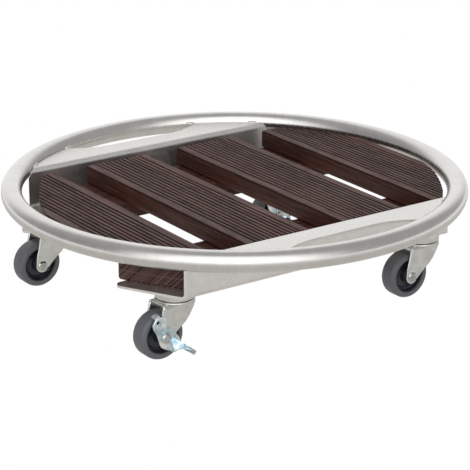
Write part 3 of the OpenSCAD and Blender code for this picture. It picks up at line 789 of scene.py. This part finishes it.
def makeCaster(k):
    wheelMid = middle(f"tyre_{k}")
    raceMid = middle(f"raceway_{k}")
    wheelBody = f"wheel_{k}"
    swivelBody = f"swivel_{k}"
    tread = turned(tyreProfile(), wheelMid, "y", tyre["steps"])
    placePiece(f"tyre{k}", [(tread, True, True)], tyreRubber, wheelBody, [f"tyre_{k}"], smooth=50)
    core = turned(hubProfile(), wheelMid, "y", hub["steps"])
    placePiece(f"wheelHub{k}", [(core, True, True)], hubPlastic, wheelBody, [f"core_{k}"], smooth=35)
    dome = turned(raceProfile(f"raceway_{k}"), (raceMid[0], raceMid[1], 0), "z", race["steps"])
    placePiece(f"raceDome{k}", [(dome, True, True)], plainZinc, "frame", [f"raceway_{k}"], smooth=45)
    placePiece(f"forkSheet{k}", [(forkGrid(wheelMid, raceMid), False, False)], plainZinc, swivelBody,
               [f"fork_{k}"], thick=fork["sheet"] * mm, smooth=45)
    low, high = (np.array(v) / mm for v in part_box(f"axle_{k}"))
    mid = wheelMid[1] / mm
    pin = turned(rivetProfile(low[1] - mid, high[1] - mid), wheelMid, "y", rivet["steps"])
    placePiece(f"axleRivet{k}", [(pin, True, False)], pinSteel, swivelBody, [f"axle_{k}"])


for k in casterNumbers:
    makeCaster(k)
for k in casterNumbers:
    rim = crownRace(middle(f"raceway_{k}"))
    placePiece(f"crownRace{k}", [(rim, True, True)], plainZinc, f"swivel_{k}", [], smooth=45)
for k in brakeNumbers:
    wheelMid = middle(f"tyre_{k}")
    bladeGrids, pedalGrids = leverGrids(wheelMid)
    blade = placePiece(f"brakeBlade{k}", bladeGrids, blueZinc, f"brake_{k}", [f"lever_{k}"])
    punchSquare(blade, wheelMid)
    placePiece(f"brakePedal{k}", pedalGrids, blueZinc, f"brake_{k}", [])
print("casters made")


finishes = {"rail_front": sheetSteel, "rail_rear": sheetSteel, "batten_front": battenWood,
            "batten_rear": battenWood, "slat_screws": pinSteel, "deck_screws": pinSteel,
            "caster_studs": plainZinc, "caster_nuts": plainZinc}
for i in casterNumbers:
    finishes[f"board_{i}"] = boardWood
    finishes[f"balls_{i}"] = pinSteel
    finishes[f"sleeve_{i}"] = pinSteel
for name, material in finishes.items():
    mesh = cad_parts[name].data
    mesh.materials.clear()
    mesh.materials.append(material)
print("finishes given")


# each glow: direction, how flat it lies, where it starts and ends (as a cosine), how bright it is
studio = {"floorSize": 30.0, "floorSeen": (1.0, 1.0, 1.0), "floorNear": (0.6, 0.58, 0.55),
          "floorFar": (1.1, 1.1, 1.11), "nearTo": 0.26, "farFrom": 0.9, "floorLight": (0.62, 0.61, 0.6),
          "floorDrop": 0.0002, "room": 0.42,
          "glow": (((-0.6, -0.8, 0.04), 0.45, 0.45, 0.98, 1.4),
                   ((0.45, 0.86, 0.3), 1.0, 0.62, 0.95, 0.66),
                   ((-0.1, -0.1, 1.0), 1.0, 0.75, 1.0, 0.04),
                   ((-0.98, 0.1, 0.1), 1.0, 0.5, 1.0, -0.1))}


def makeFloor():
    # the floor shows as plain white, and gives the metal a softer, warmer reflection with painted shade:
    # darker near the middle, where the object's shadow would lie
    material, tree, shader, place = newMaterial("paleFloor", Roughness=0.9, SpecularIORLevel=0.0)
    path = tree.nodes.new("ShaderNodeLightPath")
    away = addNode(tree, "ShaderNodeVectorMath", operation="LENGTH")
    tree.links.new(place, away.inputs[0])
    # painted shade: in reflections the floor is darker near the middle and bright further out
    fade = rangeOf(tree, away.outputs["Value"], studio["nearTo"], studio["farFrom"], 0.0, 1.0)
    reflectedWithShade = mixColour(tree, fade, studio["floorNear"], studio["floorFar"])
    bounced = mixColour(tree, path.outputs["Is Glossy Ray"], studio["floorLight"], reflectedWithShade)
    colour = mixColour(tree, path.outputs["Is Camera Ray"], bounced, studio["floorSeen"])
    shader.inputs["Base Color"].default_value = (0, 0, 0, 1)
    tree.links.new(colour, shader.inputs["Emission Color"])
    shader.inputs["Emission Strength"].default_value = 1.0
    half = studio["floorSize"] / 2
    side = np.linspace(-half, half, 2)
    x, y = np.meshgrid(side, side, indexing="ij")
    grid = np.stack([x, y, 0 * x - studio["floorDrop"]], -1)
    mesh = meshOf("floor", [(grid, False, False)])
    mesh.flip_normals()
    mesh.materials.append(material)
    obj = bpy.data.objects.new("floor", mesh)
    scene.collection.objects.link(obj)


def makeWorld():
    # a grey room with soft wide glows in fixed directions
    world = bpy.data.worlds.new("softRoom")
    world.use_nodes = True
    scene.world = world
    tree = world.node_tree
    back = tree.nodes["Background"]
    place = tree.nodes.new("ShaderNodeTexCoord").outputs["Generated"]
    total = studio["room"]
    for direction, flatten, start, end, gain in studio["glow"]:
        tall = addNode(tree, "ShaderNodeVectorMath", operation="MULTIPLY")
        tree.links.new(place, tall.inputs[0])
        tall.inputs[1].default_value = (1, 1, flatten)
        unit = addNode(tree, "ShaderNodeVectorMath", operation="NORMALIZE")
        tree.links.new(tall.outputs[0], unit.inputs[0])
        dot = addNode(tree, "ShaderNodeVectorMath", operation="DOT_PRODUCT")
        tree.links.new(unit.outputs[0], dot.inputs[0])
        dot.inputs[1].default_value = Vector(direction).normalized()
        total = mathNode(tree, "ADD", rangeOf(tree, dot.outputs["Value"], start, end, 0.0, gain), total)
    together = tree.nodes.new("ShaderNodeCombineColor")
    for socket in together.inputs[:3]:
        tree.links.new(total, socket)
    seen = tree.nodes.new("ShaderNodeLightPath").outputs["Is Camera Ray"]
    tree.links.new(mixColour(tree, seen, together.outputs[0], (1.0, 1.0, 1.0)), back.inputs["Color"])
    back.inputs["Strength"].default_value = 1.0


def addSoftbox(name, place, target, size, power):
    data = bpy.data.lights.new(name, "AREA")
    data.shape = "RECTANGLE"
    data.size, data.size_y = size
    data.energy = power
    obj = bpy.data.objects.new(name, data)
    scene.collection.objects.link(obj)
    obj.location = place
    obj.rotation_mode = "QUATERNION"
    obj.rotation_quaternion = (Vector(target) - Vector(place)).to_track_quat("-Z", "Y")
    obj.visible_glossy = False


makeFloor()
makeWorld()
addSoftbox("overheadBox", (-0.1, -0.2, 1.8), (0, 0, 0), (1.3, 0.9), 8)
addSoftbox("leftBox", (-1.5, -0.9, 1.0), (0, 0, 0.05), (0.8, 0.5), 5)
scene.view_settings.view_transform = "Standard"
print("studio made")
